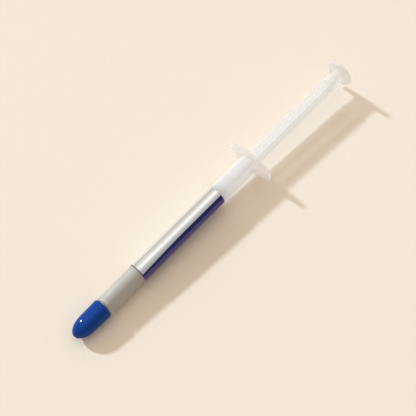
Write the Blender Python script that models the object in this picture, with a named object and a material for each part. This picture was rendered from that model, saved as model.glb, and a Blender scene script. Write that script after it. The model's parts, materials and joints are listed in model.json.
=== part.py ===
"""Thermal paste syringe, lying on a table with its cap on and its plunger drawn back.

The syringe is laid out along its own X axis. x = 0 is the shoulder at the front of the
barrel: the neck, the nozzle and the cap lie at negative x, and the plunger rod leaves the
barrel at its flange, at positive x. Every round piece is a row of rings around that axis,
so the facets of pieces that fit inside each other line up. At the end an empty tips the
syringe to the angle at which it comes to rest, on the cap and on the flange's lower edge.
"""

import math

import bmesh
import bpy
from mathutils import Matrix, Vector

MM = 0.001
SEGMENTS = 48
ARC_STEPS = 4
SHARP_ANGLE = math.radians(35)

# Barrel: the tube, with the neck and the tapered nozzle in front of its shoulder
BARREL_RADIUS = 3.7 * MM
BARREL_WALL = 0.6 * MM
BARREL_LENGTH = 75.35 * MM
SHOULDER_EDGE = 0.2 * MM
NECK_RADIUS = 2.7 * MM
NECK_LENGTH = 2.4 * MM
NECK_EDGE = 0.3 * MM
NOZZLE_ROOT_RADIUS = 2.0 * MM
NOZZLE_TIP_RADIUS = 1.85 * MM
NOZZLE_LENGTH = 8.6 * MM
NOZZLE_EDGE = 0.15 * MM
CHANNEL_RADIUS = 0.8 * MM
FRONT_CONE_START = 0.3 * MM
FRONT_CONE_DEPTH = 0.35 * MM

# Finger flange: an oval plate that ends the barrel
FLANGE_HALF_WIDTH = 9.65 * MM
FLANGE_HALF_HEIGHT = 6.3 * MM
FLANGE_THICKNESS = 1.25 * MM
FLANGE_EDGE = 0.35 * MM
FLANGE_FILLET = 0.8 * MM

# Mouth: a lead-in, then the low bead that keeps the piston in
MOUTH_LEAD_IN = 0.4 * MM
BEAD_RADIUS = 3.02 * MM
BEAD_DEPTH = 2.3 * MM
BEAD_WIDTH = 0.3 * MM
BEAD_SLOPE = 0.3 * MM

# Cap: a bullet with a slight flare towards its rim
CAP_NOSE_LENGTH = 6.4 * MM
CAP_NOSE_RADIUS = 3.62 * MM
CAP_RIM_RADIUS = 3.77 * MM
CAP_RIM_EDGE = 0.95 * MM
CAP_NOSE_STEPS = 12
CAP_SOCKET_LEAD_IN = 0.2 * MM
CAP_SOCKET_SPARE = 1.6 * MM
CAP_SOCKET_END_RADIUS = 0.8 * MM
CAP_END_WALL = 1.6 * MM
CAP_FIT = 0.05 * MM
CAP_SEAT_GAP = 0.15 * MM

# Label: foil wrapped around the barrel, with its seam underneath
LABEL_START = 16.35 * MM
LABEL_LENGTH = 40.35 * MM
LABEL_GAP = 0.03 * MM
LABEL_THICKNESS = 0.07 * MM
LABEL_SEAM_SEGMENTS = 2

# Piston: rubber, with two lips, a waist and a socket for the rod's head
PISTON_SHOULDER_X = 45.0 * MM
PISTON_LENGTH = 6.5 * MM
PISTON_CONE_DEPTH = 0.8 * MM
PISTON_CONE_TIP_RADIUS = 0.8 * MM
PISTON_FACE_RADIUS = 2.9 * MM
PISTON_LIP_GAP = 0.03 * MM
PISTON_LIP_LENGTH = 1.0 * MM
PISTON_LIP_SLOPE = 0.25 * MM
PISTON_WAIST_RADIUS = 2.75 * MM

# Rod: head, neck and disc in front, four ribs, then the tapered stem and the thumb pad
HEAD_RADIUS = 1.65 * MM
HEAD_LENGTH = 2.0 * MM
HEAD_TAPER_LENGTH = 1.0 * MM
HEAD_POINT_RADIUS = 1.1 * MM
HEAD_NECK_RADIUS = 1.05 * MM
HEAD_FIT = 0.1 * MM
HEAD_RETAINER = 1.2 * MM
ROD_DISC_RADIUS = 2.98 * MM
ROD_DISC_THICKNESS = 0.9 * MM
RIB_HALF_SPAN = 2.78 * MM
RIB_THICKNESS = 1.0 * MM
RIB_EDGE = 0.15 * MM
RIB_ROOT_FILLET = 0.4 * MM
RIB_OVERLAP = 0.4 * MM
STEM_START_X = 117.8 * MM
STEM_START_RADIUS = 2.7 * MM
STEM_TAPER_LENGTH = 1.6 * MM
STEM_RADIUS = 2.42 * MM
STEM_FILLET = 1.4 * MM
PAD_X = 124.5 * MM
PAD_RADIUS = 5.5 * MM
PAD_THICKNESS = 1.1 * MM
PAD_EDGE = 0.35 * MM
ROD_ROLL = math.radians(4)

# Paste: it fills the barrel from the channel to the piston
PASTE_GAP = 0.03 * MM
PASTE_END_GAP = 0.2 * MM

# Colours, roughness and metallic value of each material
POLYPROPYLENE = ((0.80, 0.77, 0.72), 0.35, 0.0)
CAP_BLUE = ((0.005, 0.075, 0.39), 0.30, 0.0)
FOIL_SILVER = ((0.62, 0.63, 0.62), 0.28, 0.9)
PISTON_BLACK = ((0.02, 0.02, 0.02), 0.60, 0.0)
PASTE_GREY = ((0.33, 0.32, 0.30), 0.55, 0.0)

BORE_RADIUS = BARREL_RADIUS - BARREL_WALL
NOZZLE_TIP_X = -NECK_LENGTH - NOZZLE_LENGTH
FLANGE_FRONT_X = BARREL_LENGTH - FLANGE_THICKNESS
CAP_TIP_X = NOZZLE_TIP_X - CAP_SEAT_GAP - CAP_SOCKET_SPARE - CAP_END_WALL
CAP_RIM_X = -CAP_SEAT_GAP
PISTON_REAR_X = PISTON_SHOULDER_X + PISTON_LENGTH


def quarter(centre_x, centre_radius, size, start, end):
    """Points (x, radius) on an arc, with its angles in degrees from +X towards the outside."""
    turns = [math.radians(start + (end - start) * step / ARC_STEPS) for step in range(ARC_STEPS + 1)]
    return [(centre_x + size * math.cos(a), centre_radius + size * math.sin(a)) for a in turns]


def nozzle_radius(x):
    """Radius of the nozzle's taper at x."""
    share = (-NECK_LENGTH - x) / NOZZLE_LENGTH
    return NOZZLE_ROOT_RADIUS + (NOZZLE_TIP_RADIUS - NOZZLE_ROOT_RADIUS) * share


def circles(outline):
    """Rings (x, half width, half height) of a round piece, from its outline (x, radius)."""
    return [(x, radius, radius) for x, radius in outline]


def barrel_rings():
    """Barrel from the nozzle's tip over the outside to the flange, then back through the bore."""
    outside = [
        (NOZZLE_TIP_X, NOZZLE_TIP_RADIUS - NOZZLE_EDGE),
        (NOZZLE_TIP_X + NOZZLE_EDGE, NOZZLE_TIP_RADIUS),
        (-NECK_LENGTH, NOZZLE_ROOT_RADIUS),
        (-NECK_LENGTH, NECK_RADIUS - NECK_EDGE),
        (-NECK_LENGTH + NECK_EDGE, NECK_RADIUS),
        (0.0, NECK_RADIUS),
        (0.0, BARREL_RADIUS - SHOULDER_EDGE),
        (SHOULDER_EDGE, BARREL_RADIUS),
    ]
    fillet_centre = (FLANGE_FRONT_X - FLANGE_FILLET, BARREL_RADIUS + FLANGE_FILLET)
    outside += quarter(*fillet_centre, FLANGE_FILLET, -90, 0)
    mouth = [
        (BARREL_LENGTH, BORE_RADIUS + MOUTH_LEAD_IN),
        (BARREL_LENGTH - MOUTH_LEAD_IN, BORE_RADIUS),
        (BARREL_LENGTH - BEAD_DEPTH + BEAD_SLOPE, BORE_RADIUS),
        (BARREL_LENGTH - BEAD_DEPTH, BEAD_RADIUS),
        (BARREL_LENGTH - BEAD_DEPTH - BEAD_WIDTH, BEAD_RADIUS),
        (BARREL_LENGTH - BEAD_DEPTH - BEAD_WIDTH - BEAD_SLOPE, BORE_RADIUS),
    ]
    inside = [
        (FRONT_CONE_START + FRONT_CONE_DEPTH, BORE_RADIUS),
        (FRONT_CONE_START, CHANNEL_RADIUS),
        (NOZZLE_TIP_X, CHANNEL_RADIUS),
    ]
    return circles(outside) + flange_rings() + circles(mouth + inside)


def flange_rings():
    """Oval rings over the flange's rounded edge, from its front face to its rear face."""
    front = quarter(FLANGE_FRONT_X + FLANGE_EDGE, -FLANGE_EDGE, FLANGE_EDGE, 180, 90)
    rear = quarter(BARREL_LENGTH - FLANGE_EDGE, -FLANGE_EDGE, FLANGE_EDGE, 90, 0)
    return [
        (x, FLANGE_HALF_WIDTH + inset, FLANGE_HALF_HEIGHT + inset) for x, inset in front + rear
    ]


def cap_outside():
    """Outline of the cap from its tip to its rim: half an ellipse, a flare and a round edge."""
    nose_end_x = CAP_TIP_X + CAP_NOSE_LENGTH
    turns = [math.radians(90 * step / CAP_NOSE_STEPS) for step in range(CAP_NOSE_STEPS + 1)]
    nose = [
        (nose_end_x - CAP_NOSE_LENGTH * math.cos(a), CAP_NOSE_RADIUS * math.sin(a)) for a in turns
    ]
    rim_centre = (CAP_RIM_X - CAP_RIM_EDGE, CAP_RIM_RADIUS - CAP_RIM_EDGE)
    return nose + quarter(*rim_centre, CAP_RIM_EDGE, 90, 0)


def cap_rings():
    """Cap from its tip over the outside to the rim, then inwards along the two sockets."""
    neck_socket = NECK_RADIUS + CAP_FIT
    floor_x = -NECK_LENGTH - CAP_SEAT_GAP
    end_x = NOZZLE_TIP_X - CAP_SEAT_GAP
    inside = [
        (CAP_RIM_X - CAP_SOCKET_LEAD_IN, neck_socket),
        (floor_x, neck_socket),
        (floor_x, nozzle_radius(floor_x) + CAP_FIT),
        (end_x, nozzle_radius(end_x) + CAP_FIT),
        (end_x - CAP_SOCKET_SPARE, CAP_SOCKET_END_RADIUS),
        (end_x - CAP_SOCKET_SPARE, 0.0),
    ]
    return circles(cap_outside() + inside)


def paste_rings():
    """Paste from the nozzle's tip through the channel and the bore to the piston's face."""
    channel = CHANNEL_RADIUS - PASTE_GAP
    bore = BORE_RADIUS - PASTE_GAP
    front_x = NOZZLE_TIP_X + PASTE_END_GAP
    cone_x = FRONT_CONE_START + PASTE_GAP
    face_x = PISTON_SHOULDER_X - PASTE_END_GAP
    return circles(
        [
            (front_x, 0.0),
            (front_x, channel),
            (cone_x, channel),
            (cone_x + FRONT_CONE_DEPTH, bore),
            (face_x, bore),
            (face_x, PISTON_FACE_RADIUS),
            (face_x - PISTON_CONE_DEPTH, PISTON_CONE_TIP_RADIUS),
            (face_x - PISTON_CONE_DEPTH, 0.0),
        ]
    )


def piston_rings():
    """Piston from its cone over both lips to its rear face, then into the head's socket."""
    lip = BORE_RADIUS - PISTON_LIP_GAP
    front, rear = PISTON_SHOULDER_X, PISTON_REAR_X
    outside = [
        (front - PISTON_CONE_DEPTH, 0.0),
        (front - PISTON_CONE_DEPTH, PISTON_CONE_TIP_RADIUS),
        (front, PISTON_FACE_RADIUS),
        (front + PISTON_LIP_SLOPE, lip),
        (front + PISTON_LIP_SLOPE + PISTON_LIP_LENGTH, lip),
        (front + 2 * PISTON_LIP_SLOPE + PISTON_LIP_LENGTH, PISTON_WAIST_RADIUS),
        (rear - 2 * PISTON_LIP_SLOPE - PISTON_LIP_LENGTH, PISTON_WAIST_RADIUS),
        (rear - PISTON_LIP_SLOPE - PISTON_LIP_LENGTH, lip),
        (rear - PISTON_LIP_SLOPE, lip),
        (rear, PISTON_FACE_RADIUS),
    ]
    head_rear, head_front = head_ends()
    socket = [
        (rear, HEAD_NECK_RADIUS + HEAD_FIT),
        (head_rear + HEAD_FIT, HEAD_NECK_RADIUS + HEAD_FIT),
        (head_rear + HEAD_FIT, HEAD_RADIUS + HEAD_FIT),
        (head_front + HEAD_TAPER_LENGTH - HEAD_FIT, HEAD_RADIUS + HEAD_FIT),
        (head_front - HEAD_FIT, HEAD_POINT_RADIUS + HEAD_FIT),
        (head_front - HEAD_FIT, 0.0),
    ]
    return circles(outside + socket)


def head_ends():
    """Rear and front x of the rod's head, which sits in the piston behind its retaining ring."""
    head_rear = PISTON_REAR_X - HEAD_RETAINER - HEAD_FIT
    return head_rear, head_rear - HEAD_LENGTH


def rod_front_rings():
    """Head, neck and disc at the rod's front end."""
    head_rear, head_front = head_ends()
    disc_front = PISTON_REAR_X + HEAD_FIT
    return circles(
        [
            (head_front, 0.0),
            (head_front, HEAD_POINT_RADIUS),
            (head_front + HEAD_TAPER_LENGTH, HEAD_RADIUS),
            (head_rear, HEAD_RADIUS),
            (head_rear, HEAD_NECK_RADIUS),
            (disc_front, HEAD_NECK_RADIUS),
            (disc_front, ROD_DISC_RADIUS),
            (disc_front + ROD_DISC_THICKNESS, ROD_DISC_RADIUS),
            (disc_front + ROD_DISC_THICKNESS, 0.0),
        ]
    )


def pad_outside():
    """Outline of the thumb pad's rounded edge, from its front face to its rear face."""
    rear_x = PAD_X + PAD_THICKNESS
    edge_radius = PAD_RADIUS - PAD_EDGE
    front = quarter(PAD_X + PAD_EDGE, edge_radius, PAD_EDGE, 180, 90)
    return front + quarter(rear_x - PAD_EDGE, edge_radius, PAD_EDGE, 90, 0)


def rod_rear_rings():
    """Stem and thumb pad at the rod's rear end, with a wide fillet between them."""
    stem = [
        (STEM_START_X, 0.0),
        (STEM_START_X, STEM_START_RADIUS),
        (STEM_START_X + STEM_TAPER_LENGTH, STEM_RADIUS),
    ]
    fillet = quarter(PAD_X - STEM_FILLET, STEM_RADIUS + STEM_FILLET, STEM_FILLET, -90, 0)
    return circles(stem + fillet + pad_outside() + [(PAD_X + PAD_THICKNESS, 0.0)])


def add_ring(bm, x, half_width, half_height):
    """One ring of vertices around the axis. A ring without size is a single point on it."""
    if not half_width:
        return [bm.verts.new((x, 0.0, 0.0))]
    turned = Matrix.Rotation(math.radians(90), 4, "Y")
    stretched = Matrix.Diagonal((1.0, half_width, half_height, 1.0))
    placed = Matrix.Translation((x, 0.0, 0.0)) @ stretched @ turned
    return bmesh.ops.create_circle(bm, segments=SEGMENTS, radius=1.0, matrix=placed)["verts"]


def join_rings(bm, first, second):
    """A band of quads between two rings, or a fan where one of them is a point."""
    for i in range(SEGMENTS):
        after = (i + 1) % SEGMENTS
        if len(first) == 1:
            bm.faces.new((first[0], second[i], second[after]))
        elif len(second) == 1:
            bm.faces.new((first[i], first[after], second[0]))
        else:
            bm.faces.new((first[i], first[after], second[after], second[i]))


def mesh_object(name, bm):
    """An object from a finished bmesh, with smooth faces and sharp corners."""
    bmesh.ops.recalc_face_normals(bm, faces=bm.faces)
    mesh = bpy.data.meshes.new(name)
    bm.to_mesh(mesh)
    bm.free()
    mesh.shade_smooth()
    mesh.set_sharp_from_angle(angle=SHARP_ANGLE)
    obj = bpy.data.objects.new(name, mesh)
    bpy.context.scene.collection.objects.link(obj)
    return obj


def ring_body(name, rings):
    """A closed piece from a row of rings. A row that starts on a full ring runs back to it."""
    bm = bmesh.new()
    loops = [add_ring(bm, *ring) for ring in rings]
    for first, second in zip(loops, loops[1:]):
        join_rings(bm, first, second)
    if len(loops[0]) > 1:
        join_rings(bm, loops[-1], loops[0])
    return mesh_object(name, bm)


def label_body(name):
    """Foil label: an open sleeve around the barrel, whose two edges leave the seam between them."""
    inner = BARREL_RADIUS + LABEL_GAP
    outer = inner + LABEL_THICKNESS
    step = 2 * math.pi / SEGMENTS
    start = -math.pi / 2 + step * LABEL_SEAM_SEGMENTS / 2
    bm = bmesh.new()
    edge = [
        bm.verts.new((x, radius * math.cos(start), radius * math.sin(start)))
        for x, radius in (
            (LABEL_START, inner),
            (LABEL_START + LABEL_LENGTH, inner),
            (LABEL_START + LABEL_LENGTH, outer),
            (LABEL_START, outer),
        )
    ]
    end = bm.faces.new(edge)
    steps = SEGMENTS - LABEL_SEAM_SEGMENTS
    bmesh.ops.spin(
        bm,
        geom=[end, *end.edges, *edge],
        cent=(0.0, 0.0, 0.0),
        axis=(1.0, 0.0, 0.0),
        angle=step * steps,
        steps=steps,
    )
    return mesh_object(name, bm)


def rib_section():
    """Section of the four ribs: a cross with bevelled tips and a fillet in each corner."""
    half = RIB_THICKNESS / 2
    corner = half + RIB_ROOT_FILLET
    quadrant = [
        (RIB_HALF_SPAN, half - RIB_EDGE),
        (RIB_HALF_SPAN - RIB_EDGE, half),
    ]
    quadrant += quarter(corner, corner, RIB_ROOT_FILLET, 270, 180)
    quadrant += [
        (half, RIB_HALF_SPAN - RIB_EDGE),
        (half - RIB_EDGE, RIB_HALF_SPAN),
    ]
    section = []
    for turn in range(4):
        spin = Matrix.Rotation(math.radians(90 * turn), 2)
        section += [spin @ Vector(point) for point in quadrant]
    return section


def rib_body(name):
    """The four ribs, drawn as one section and extruded along the rod."""
    front_x = PISTON_REAR_X + HEAD_FIT + ROD_DISC_THICKNESS - RIB_OVERLAP
    length = STEM_START_X + RIB_OVERLAP - front_x
    bm = bmesh.new()
    face = bm.faces.new([bm.verts.new((front_x, y, z)) for y, z in rib_section()])
    moved = bmesh.ops.extrude_face_region(bm, geom=[face], use_keep_orig=True)["geom"]
    far_end = [item for item in moved if isinstance(item, bmesh.types.BMVert)]
    bmesh.ops.translate(bm, vec=(length, 0.0, 0.0), verts=far_end)
    return mesh_object(name, bm)


def rod_body(name):
    """The plunger rod: front end, ribs and thumb end, united into one moulding."""
    rod = ring_body(name, rod_front_rings())
    for part in (rib_body(name + "_ribs_guide"), ring_body(name + "_rear_guide", rod_rear_rings())):
        part.hide_render = True
        part.display_type = "WIRE"
        part.parent = rod
        union = rod.modifiers.new("unite " + part.name, "BOOLEAN")
        union.operation = "UNION"
        union.solver = "EXACT"
        union.object = part
    rod.rotation_euler[0] = ROD_ROLL
    return rod


def give_material(obj, name, finish):
    """Puts a plain material on a piece, from its colour, roughness and metallic value."""
    colour, roughness, metallic = finish
    material = bpy.data.materials.new(name)
    material.use_nodes = True
    shader = material.node_tree.nodes["Principled BSDF"]
    shader.inputs["Base Color"].default_value = (*colour, 1.0)
    shader.inputs["Roughness"].default_value = roughness
    shader.inputs["Metallic"].default_value = metallic
    obj.data.materials.append(material)


def support_points():
    """Points (x, depth below the axis) that can meet the table: the cap's, then the rear ones."""
    flange = [(x, half_height) for x, _, half_height in flange_rings()]
    return cap_outside(), flange + pad_outside()


def resting_tilt():
    """Angle at which the syringe rests, with the line under the cap meeting the rear support."""
    cap, rear = support_points()
    slopes = [min((depth - r) / (x - cap_x) for cap_x, r in cap) for x, depth in rear]
    return math.atan(max(slopes))


def resting_place(tilt):
    """Transform of the tipped syringe: its lowest point on the table, centred along X."""
    tip_up = Matrix.Rotation(-tilt, 4, "Y")
    cap, rear = support_points()
    outline = [tip_up @ Vector((x, 0.0, side * r)) for x, r in cap + rear for side in (-1, 1)]
    middle = (min(p.x for p in outline) + max(p.x for p in outline)) / 2
    lowest = min(p.z for p in outline)
    return Matrix.Translation((-middle, 0.0, -lowest)) @ tip_up


def main():
    """Builds the six pieces and lays the syringe down."""
    for obj in list(bpy.data.objects):
        bpy.data.objects.remove(obj, do_unlink=True)
    frame = bpy.data.objects.new("syringe_axis", None)
    bpy.context.scene.collection.objects.link(frame)
    frame.matrix_world = resting_place(resting_tilt())

    pieces = (
        (ring_body("barrel", barrel_rings()), "polypropylene", POLYPROPYLENE),
        (ring_body("cap", cap_rings()), "cap_blue", CAP_BLUE),
        (label_body("label"), "foil_silver", FOIL_SILVER),
        (ring_body("thermal_paste", paste_rings()), "paste_grey", PASTE_GREY),
        (ring_body("piston_stopper", piston_rings()), "piston_black", PISTON_BLACK),
        (rod_body("plunger_rod"), "rod_polypropylene", POLYPROPYLENE),
    )
    for piece, material_name, finish in pieces:
        give_material(piece, material_name, finish)
        piece.parent = frame


main()
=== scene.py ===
"""Dressed model of a thermal paste syringe, lying capped on a pale table.

Each sub-assembly is a class whose fields are its sizes and whose methods make its meshes.
Lengths along the syringe are stations: station 0 is the barrel's front shoulder, the nozzle
and the cap lie at negative stations, and the thumb pad ends the rod at the far side.
"""

import json
import logging
import math
from dataclasses import dataclass, field
from enum import Enum
from typing import Any, NamedTuple, Sequence

import bmesh
import bpy
from mathutils import Matrix, Vector


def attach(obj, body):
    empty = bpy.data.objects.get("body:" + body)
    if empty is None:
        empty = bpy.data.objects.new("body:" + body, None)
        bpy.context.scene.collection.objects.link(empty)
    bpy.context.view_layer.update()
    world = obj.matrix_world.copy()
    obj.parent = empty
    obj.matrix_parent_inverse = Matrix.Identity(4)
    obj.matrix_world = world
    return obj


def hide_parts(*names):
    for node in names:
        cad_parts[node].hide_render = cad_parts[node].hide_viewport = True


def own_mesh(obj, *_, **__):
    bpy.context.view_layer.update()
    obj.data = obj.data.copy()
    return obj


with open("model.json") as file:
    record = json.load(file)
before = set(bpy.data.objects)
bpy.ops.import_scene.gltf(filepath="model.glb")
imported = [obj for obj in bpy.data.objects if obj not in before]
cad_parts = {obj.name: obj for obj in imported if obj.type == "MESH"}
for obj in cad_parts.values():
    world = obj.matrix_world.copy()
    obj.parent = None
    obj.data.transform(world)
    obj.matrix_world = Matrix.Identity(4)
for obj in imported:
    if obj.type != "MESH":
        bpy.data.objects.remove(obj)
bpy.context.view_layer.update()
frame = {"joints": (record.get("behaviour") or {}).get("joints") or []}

LOG = logging.getLogger("paste_syringe")
MM = 0.001
FULL_TURN = 2 * math.pi
ROUNDING = 1e-6

# A colour's linear red, green and blue, and an outline's (station, radius) points
Colour = tuple[float, float, float]
Outline = list[tuple[float, float]]

# A node's own properties by name, and its sockets' values or links by name or place
Settings = dict[str, Any] | None
Inputs = dict[Any, Any] | None


class Body(str, Enum):
    """Rigid bodies that the pieces ride on."""

    BARREL = "barrel"
    CAP = "cap"
    PISTON = "piston"
    ROD = "rod"


class Slot(str, Enum):
    """Material slots of the record, by name."""

    CLEAR = "clear_polypropylene"
    BLUE = "blue_polyethylene"
    FOIL = "foil_label"
    PASTE = "grey_paste"
    RUBBER = "black_rubber"
    NATURAL = "natural_polypropylene"


class Ring(NamedTuple):
    """One ring of a lofted piece: its station, its half width along Y and its half height."""

    station: float
    half_width: float
    half_height: float


class Number:
    """A number that a node gives. It takes part in ordinary sums, which add Math nodes."""

    def __init__(self, graph: "Graph", socket: bpy.types.NodeSocket) -> None:
        """Wraps an output socket.

        Args:
            graph: The graph that the socket belongs to.
            socket: An output socket that carries a number.
        """
        self.graph = graph
        self.socket = socket

    def math(self, operation: str, *others: Any) -> "Number":
        """Adds a Math node.

        Args:
            operation: The Math node's operation, such as "ADD".
            *others: The second and third numbers, as values or Numbers.

        Returns:
            The node's result.
        """
        inputs = {0: self, **{i + 1: other for i, other in enumerate(others)}}
        return self.graph.number("ShaderNodeMath", {"operation": operation}, inputs)

    def __add__(self, other: Any) -> "Number":
        """Sum."""
        return self.math("ADD", other)

    def __sub__(self, other: Any) -> "Number":
        """Difference."""
        return self.math("SUBTRACT", other)

    def __rsub__(self, other: float) -> "Number":
        """Difference with the number on the right."""
        return self.graph.number("ShaderNodeMath", {"operation": "SUBTRACT"}, {0: other, 1: self})

    def __mul__(self, other: Any) -> "Number":
        """Product."""
        return self.math("MULTIPLY", other)

    def __truediv__(self, other: Any) -> "Number":
        """Quotient."""
        return self.math("DIVIDE", other)

    def __rtruediv__(self, other: float) -> "Number":
        """Quotient with the number below."""
        return self.graph.number("ShaderNodeMath", {"operation": "DIVIDE"}, {0: other, 1: self})

    __radd__ = __add__
    __rmul__ = __mul__

    def above(self, limit: Any) -> "Number":
        """1 where the number is greater than the limit, and 0 elsewhere."""
        return self.math("GREATER_THAN", limit)

    def ramp(self, low: Any, high: Any) -> "Number":
        """Smooth rise from 0 at low to 1 at high."""
        inputs = {"Value": self, "From Min": low, "From Max": high}
        return self.graph.number("ShaderNodeMapRange", {"interpolation_type": "SMOOTHSTEP"}, inputs)


class Graph:
    """A node tree that is filled by one method, whatever the kind of node."""

    def __init__(self, tree: bpy.types.NodeTree) -> None:
        """Wraps a shader or geometry node tree."""
        self.tree = tree

    def node(self, kind: str, settings: Settings = None, inputs: Inputs = None) -> bpy.types.Node:
        """Adds a node.

        Args:
            kind: The node's type, such as "ShaderNodeBump".
            settings: Properties to set before the inputs.
            inputs: Values, sockets or Numbers for its inputs, by name or place.

        Returns:
            The new node.
        """
        made = self.tree.nodes.new(kind)
        for name, value in (settings or {}).items():
            setattr(made, name, value)
        for key, value in (inputs or {}).items():
            if isinstance(value, Number):
                value = value.socket
            if isinstance(value, bpy.types.NodeSocket):
                self.tree.links.new(value, made.inputs[key])
            else:
                made.inputs[key].default_value = value
        return made

    def number(self, kind: str, settings: Settings, inputs: Inputs, output: Any = 0) -> Number:
        """Adds a node and wraps one of its outputs as a Number."""
        return Number(self, self.node(kind, settings, inputs).outputs[output])

    def noise(self, place: Any, scale: float, detail: float = 2.0) -> Number:
        """Smooth random pattern between 0 and 1.

        Args:
            place: The coordinates that it is read at.
            scale: How many cells a metre holds.
            detail: How many finer layers it has.

        Returns:
            The pattern's value.
        """
        inputs = {"Vector": place, "Scale": scale, "Detail": detail}
        return self.number("ShaderNodeTexNoise", None, inputs)

    def blend(self, share: Any, first: Any, second: Any) -> bpy.types.NodeSocket:
        """Colour between two colours.

        Args:
            share: 0 for the first colour and 1 for the second.
            first: A colour or a colour socket.
            second: A colour or a colour socket.

        Returns:
            The mixed colour's socket.
        """
        colours = [(*c, 1.0) if isinstance(c, tuple) else c for c in (first, second)]
        inputs = {0: share, 6: colours[0], 7: colours[1]}
        return self.node("ShaderNodeMix", {"data_type": "RGBA"}, inputs).outputs[2]


def rgb(code: str) -> Colour:
    """Linear colour from a hexadecimal screen colour, by the sRGB curve."""
    shares = [int(code[i : i + 2], 16) / 255 for i in (0, 2, 4)]
    return tuple(s / 12.92 if s <= 0.04045 else ((s + 0.055) / 1.055) ** 2.4 for s in shares)


@dataclass(frozen=True)
class Finish:
    """What every finish has: a name, a colour and a roughness, and a fine surface relief."""

    name: str
    colour: Colour
    roughness: float
    relief: float = 0.01 * MM
    relief_scale: float = 900.0
    mottle: float = 0.04
    mottle_coarseness: float = 6.0
    roughness_spread: float = 0.1

    def material(self) -> bpy.types.Material:
        """Makes the material.

        Returns:
            The material, with what varies over the surface linked and the rest set.
        """
        made = bpy.data.materials.new(self.name)
        made.use_nodes = True
        graph = Graph(made.node_tree)
        shader = made.node_tree.nodes["Principled BSDF"]
        place = graph.node("ShaderNodeTexCoord").outputs["Object"]
        for name, value in self.constants().items():
            shader.inputs[name].default_value = value
        for name, value in self.varying(graph, place).items():
            socket = value.socket if isinstance(value, Number) else value
            graph.tree.links.new(socket, shader.inputs[name])
        return made

    def constants(self) -> dict[str, Any]:
        """Values that are the same all over the surface, by socket name."""
        return {}

    def varying(self, graph: Graph, place: bpy.types.NodeSocket) -> dict[str, Any]:
        """What changes over the surface.

        Args:
            graph: The material's graph.
            place: Object coordinates.

        Returns:
            Sockets or Numbers by the name of the shader's socket that they feed.
        """
        cloud = graph.noise(place, self.relief_scale / self.mottle_coarseness)
        darker = tuple(c * (1 - self.mottle) for c in self.colour)
        return {
            "Base Color": graph.blend(cloud, darker, self.colour),
            "Roughness": self.roughness + (cloud - 0.5) * self.roughness_spread,
            "Normal": self.bump(graph, graph.noise(place, self.relief_scale)),
        }

    def bump(self, graph: Graph, height: Number) -> bpy.types.NodeSocket:
        """Surface relief from a height between 0 and 1."""
        inputs = {"Height": height, "Strength": 1.0, "Distance": self.relief}
        return graph.node("ShaderNodeBump", None, inputs).outputs["Normal"]


@dataclass(frozen=True)
class MilkyPlastic(Finish):
    """Undyed polypropylene that light passes through, with a soft skin gloss."""

    cover: float = 1.0
    gloss: float = 0.5
    through: float = 0.0
    scatter: float = 0.0
    scatter_depth: float = 2.0 * MM
    scatter_tint: Colour = (1.0, 0.95, 0.85)
    refraction: float = 1.49

    def material(self) -> bpy.types.Material:
        """Makes the material, a part of which shows the light that comes through from behind.

        Returns:
            The material.
        """
        made = super().material()
        graph = Graph(made.node_tree)
        nodes = made.node_tree.nodes
        lit_through = graph.node("ShaderNodeBsdfTranslucent", None, {0: (*self.colour, 1.0)})
        share = self.share_through(graph)
        shaders = {0: share, 1: nodes["Principled BSDF"].outputs[0], 2: lit_through.outputs[0]}
        mixed = graph.node("ShaderNodeMixShader", None, shaders)
        graph.tree.links.new(mixed.outputs[0], nodes["Material Output"].inputs["Surface"])
        return made

    def share_through(self, graph: Graph) -> Any:
        """Share of the light that comes through, as a value or a Number."""
        return self.through

    def constants(self) -> dict[str, Any]:
        """Cover of one skin and scattering below it."""
        return {
            "IOR": self.refraction,
            "Specular IOR Level": self.gloss,
            "Alpha": self.cover,
            "Subsurface Weight": self.scatter,
            "Subsurface Radius": self.scatter_tint,
            "Subsurface Scale": self.scatter_depth,
        }


@dataclass(frozen=True)
class SmearedPlastic(MilkyPlastic):
    """Milky plastic of the tube, greyed where the paste lies against its inside."""

    smear: Colour = rgb("cdc8bf")
    smear_cover: float = 0.6
    smear_start: float = 0.3 * MM
    smear_end: float = 45.0 * MM

    def smeared(self, graph: Graph) -> Number:
        """1 where the paste lies behind the wall, and 0 elsewhere."""
        station = graph.number("ShaderNodeAttribute", {"attribute_name": "station"}, None, "Fac")
        return station.above(self.smear_start) * (1 - station.above(self.smear_end))

    def share_through(self, graph: Graph) -> Any:
        """Share of the light that comes through, which the paste stops."""
        return (1 - self.smeared(graph)) * self.through

    def varying(self, graph: Graph, place: bpy.types.NodeSocket) -> dict[str, Any]:
        """Greys the wall over the paste.

        Args:
            graph: The material's graph.
            place: Object coordinates.

        Returns:
            Sockets or Numbers by the name of the shader's socket that they feed.
        """
        values = super().varying(graph, place)
        smeared = self.smeared(graph)
        values["Base Color"] = graph.blend(smeared, values["Base Color"], self.smear)
        values["Alpha"] = self.cover + smeared * (self.smear_cover - self.cover)
        return values


@dataclass(frozen=True)
class SolidPlastic(Finish):
    """Dyed plastic with a soft sheen."""

    gloss: float = 0.0
    coat: float = 0.42
    coat_roughness: float = 0.12

    def constants(self) -> dict[str, Any]:
        """Gloss of the moulded skin."""
        coat = {"Coat Weight": self.coat, "Coat Roughness": self.coat_roughness}
        return {"Specular IOR Level": self.gloss, **coat}


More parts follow.
